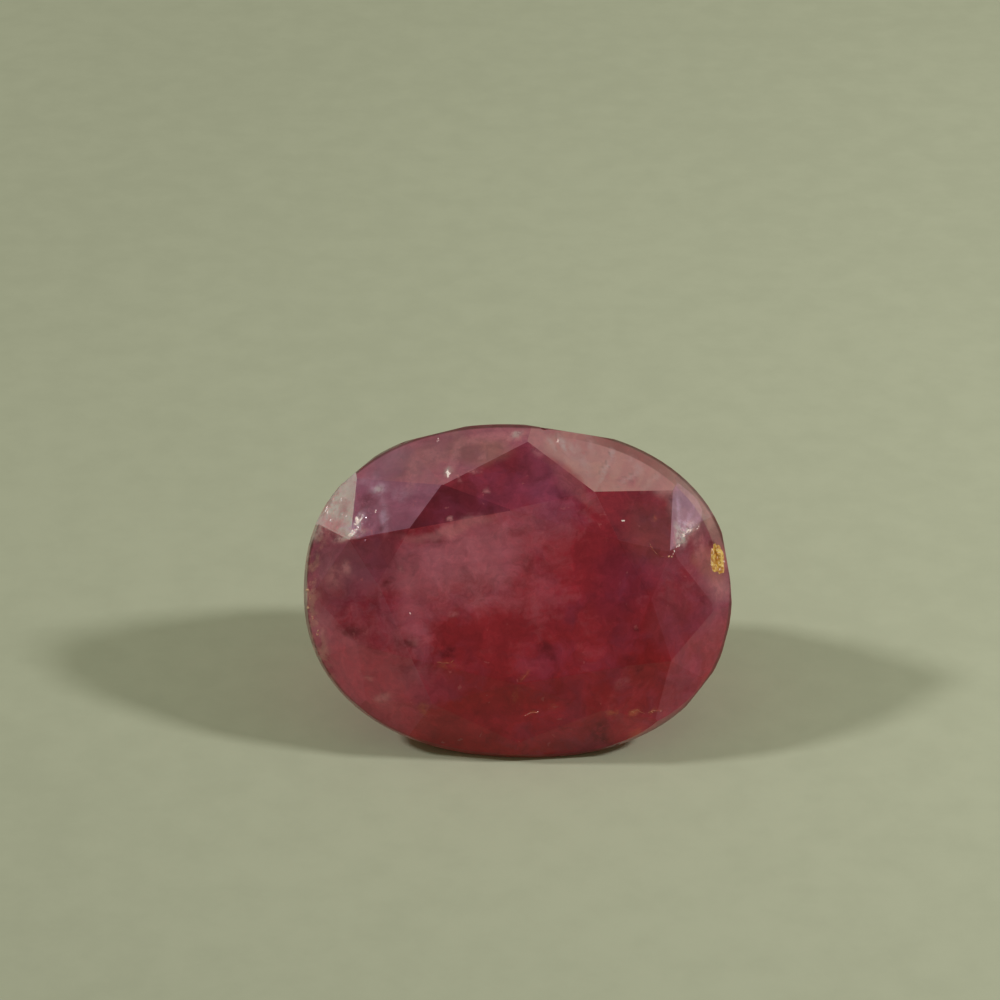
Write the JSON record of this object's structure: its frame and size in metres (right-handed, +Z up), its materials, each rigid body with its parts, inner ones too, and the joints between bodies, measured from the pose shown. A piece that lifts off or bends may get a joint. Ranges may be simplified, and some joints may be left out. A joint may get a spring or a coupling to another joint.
{
  "type": "faceted oval ruby",
  "caption": "Oval-cut ruby with a brilliant crown and a deep pavilion, clouded inside, resting tipped back on one pavilion flat.",
  "frame": {"origin": "middle of the base of the stone's bounding box, on the surface that it rests on", "axes": "+X along the oval's length, +Y away from the side that the table faces, +Z up; the table faces -Y and up"},
  "size_m": [0.013, 0.0078, 0.0088],
  "materials": {
    "ruby": "polished, cloudy pink-red"
  },
  "bodies": {
    "root": {"ruby": "ruby"}
  },
  "joints": []
}
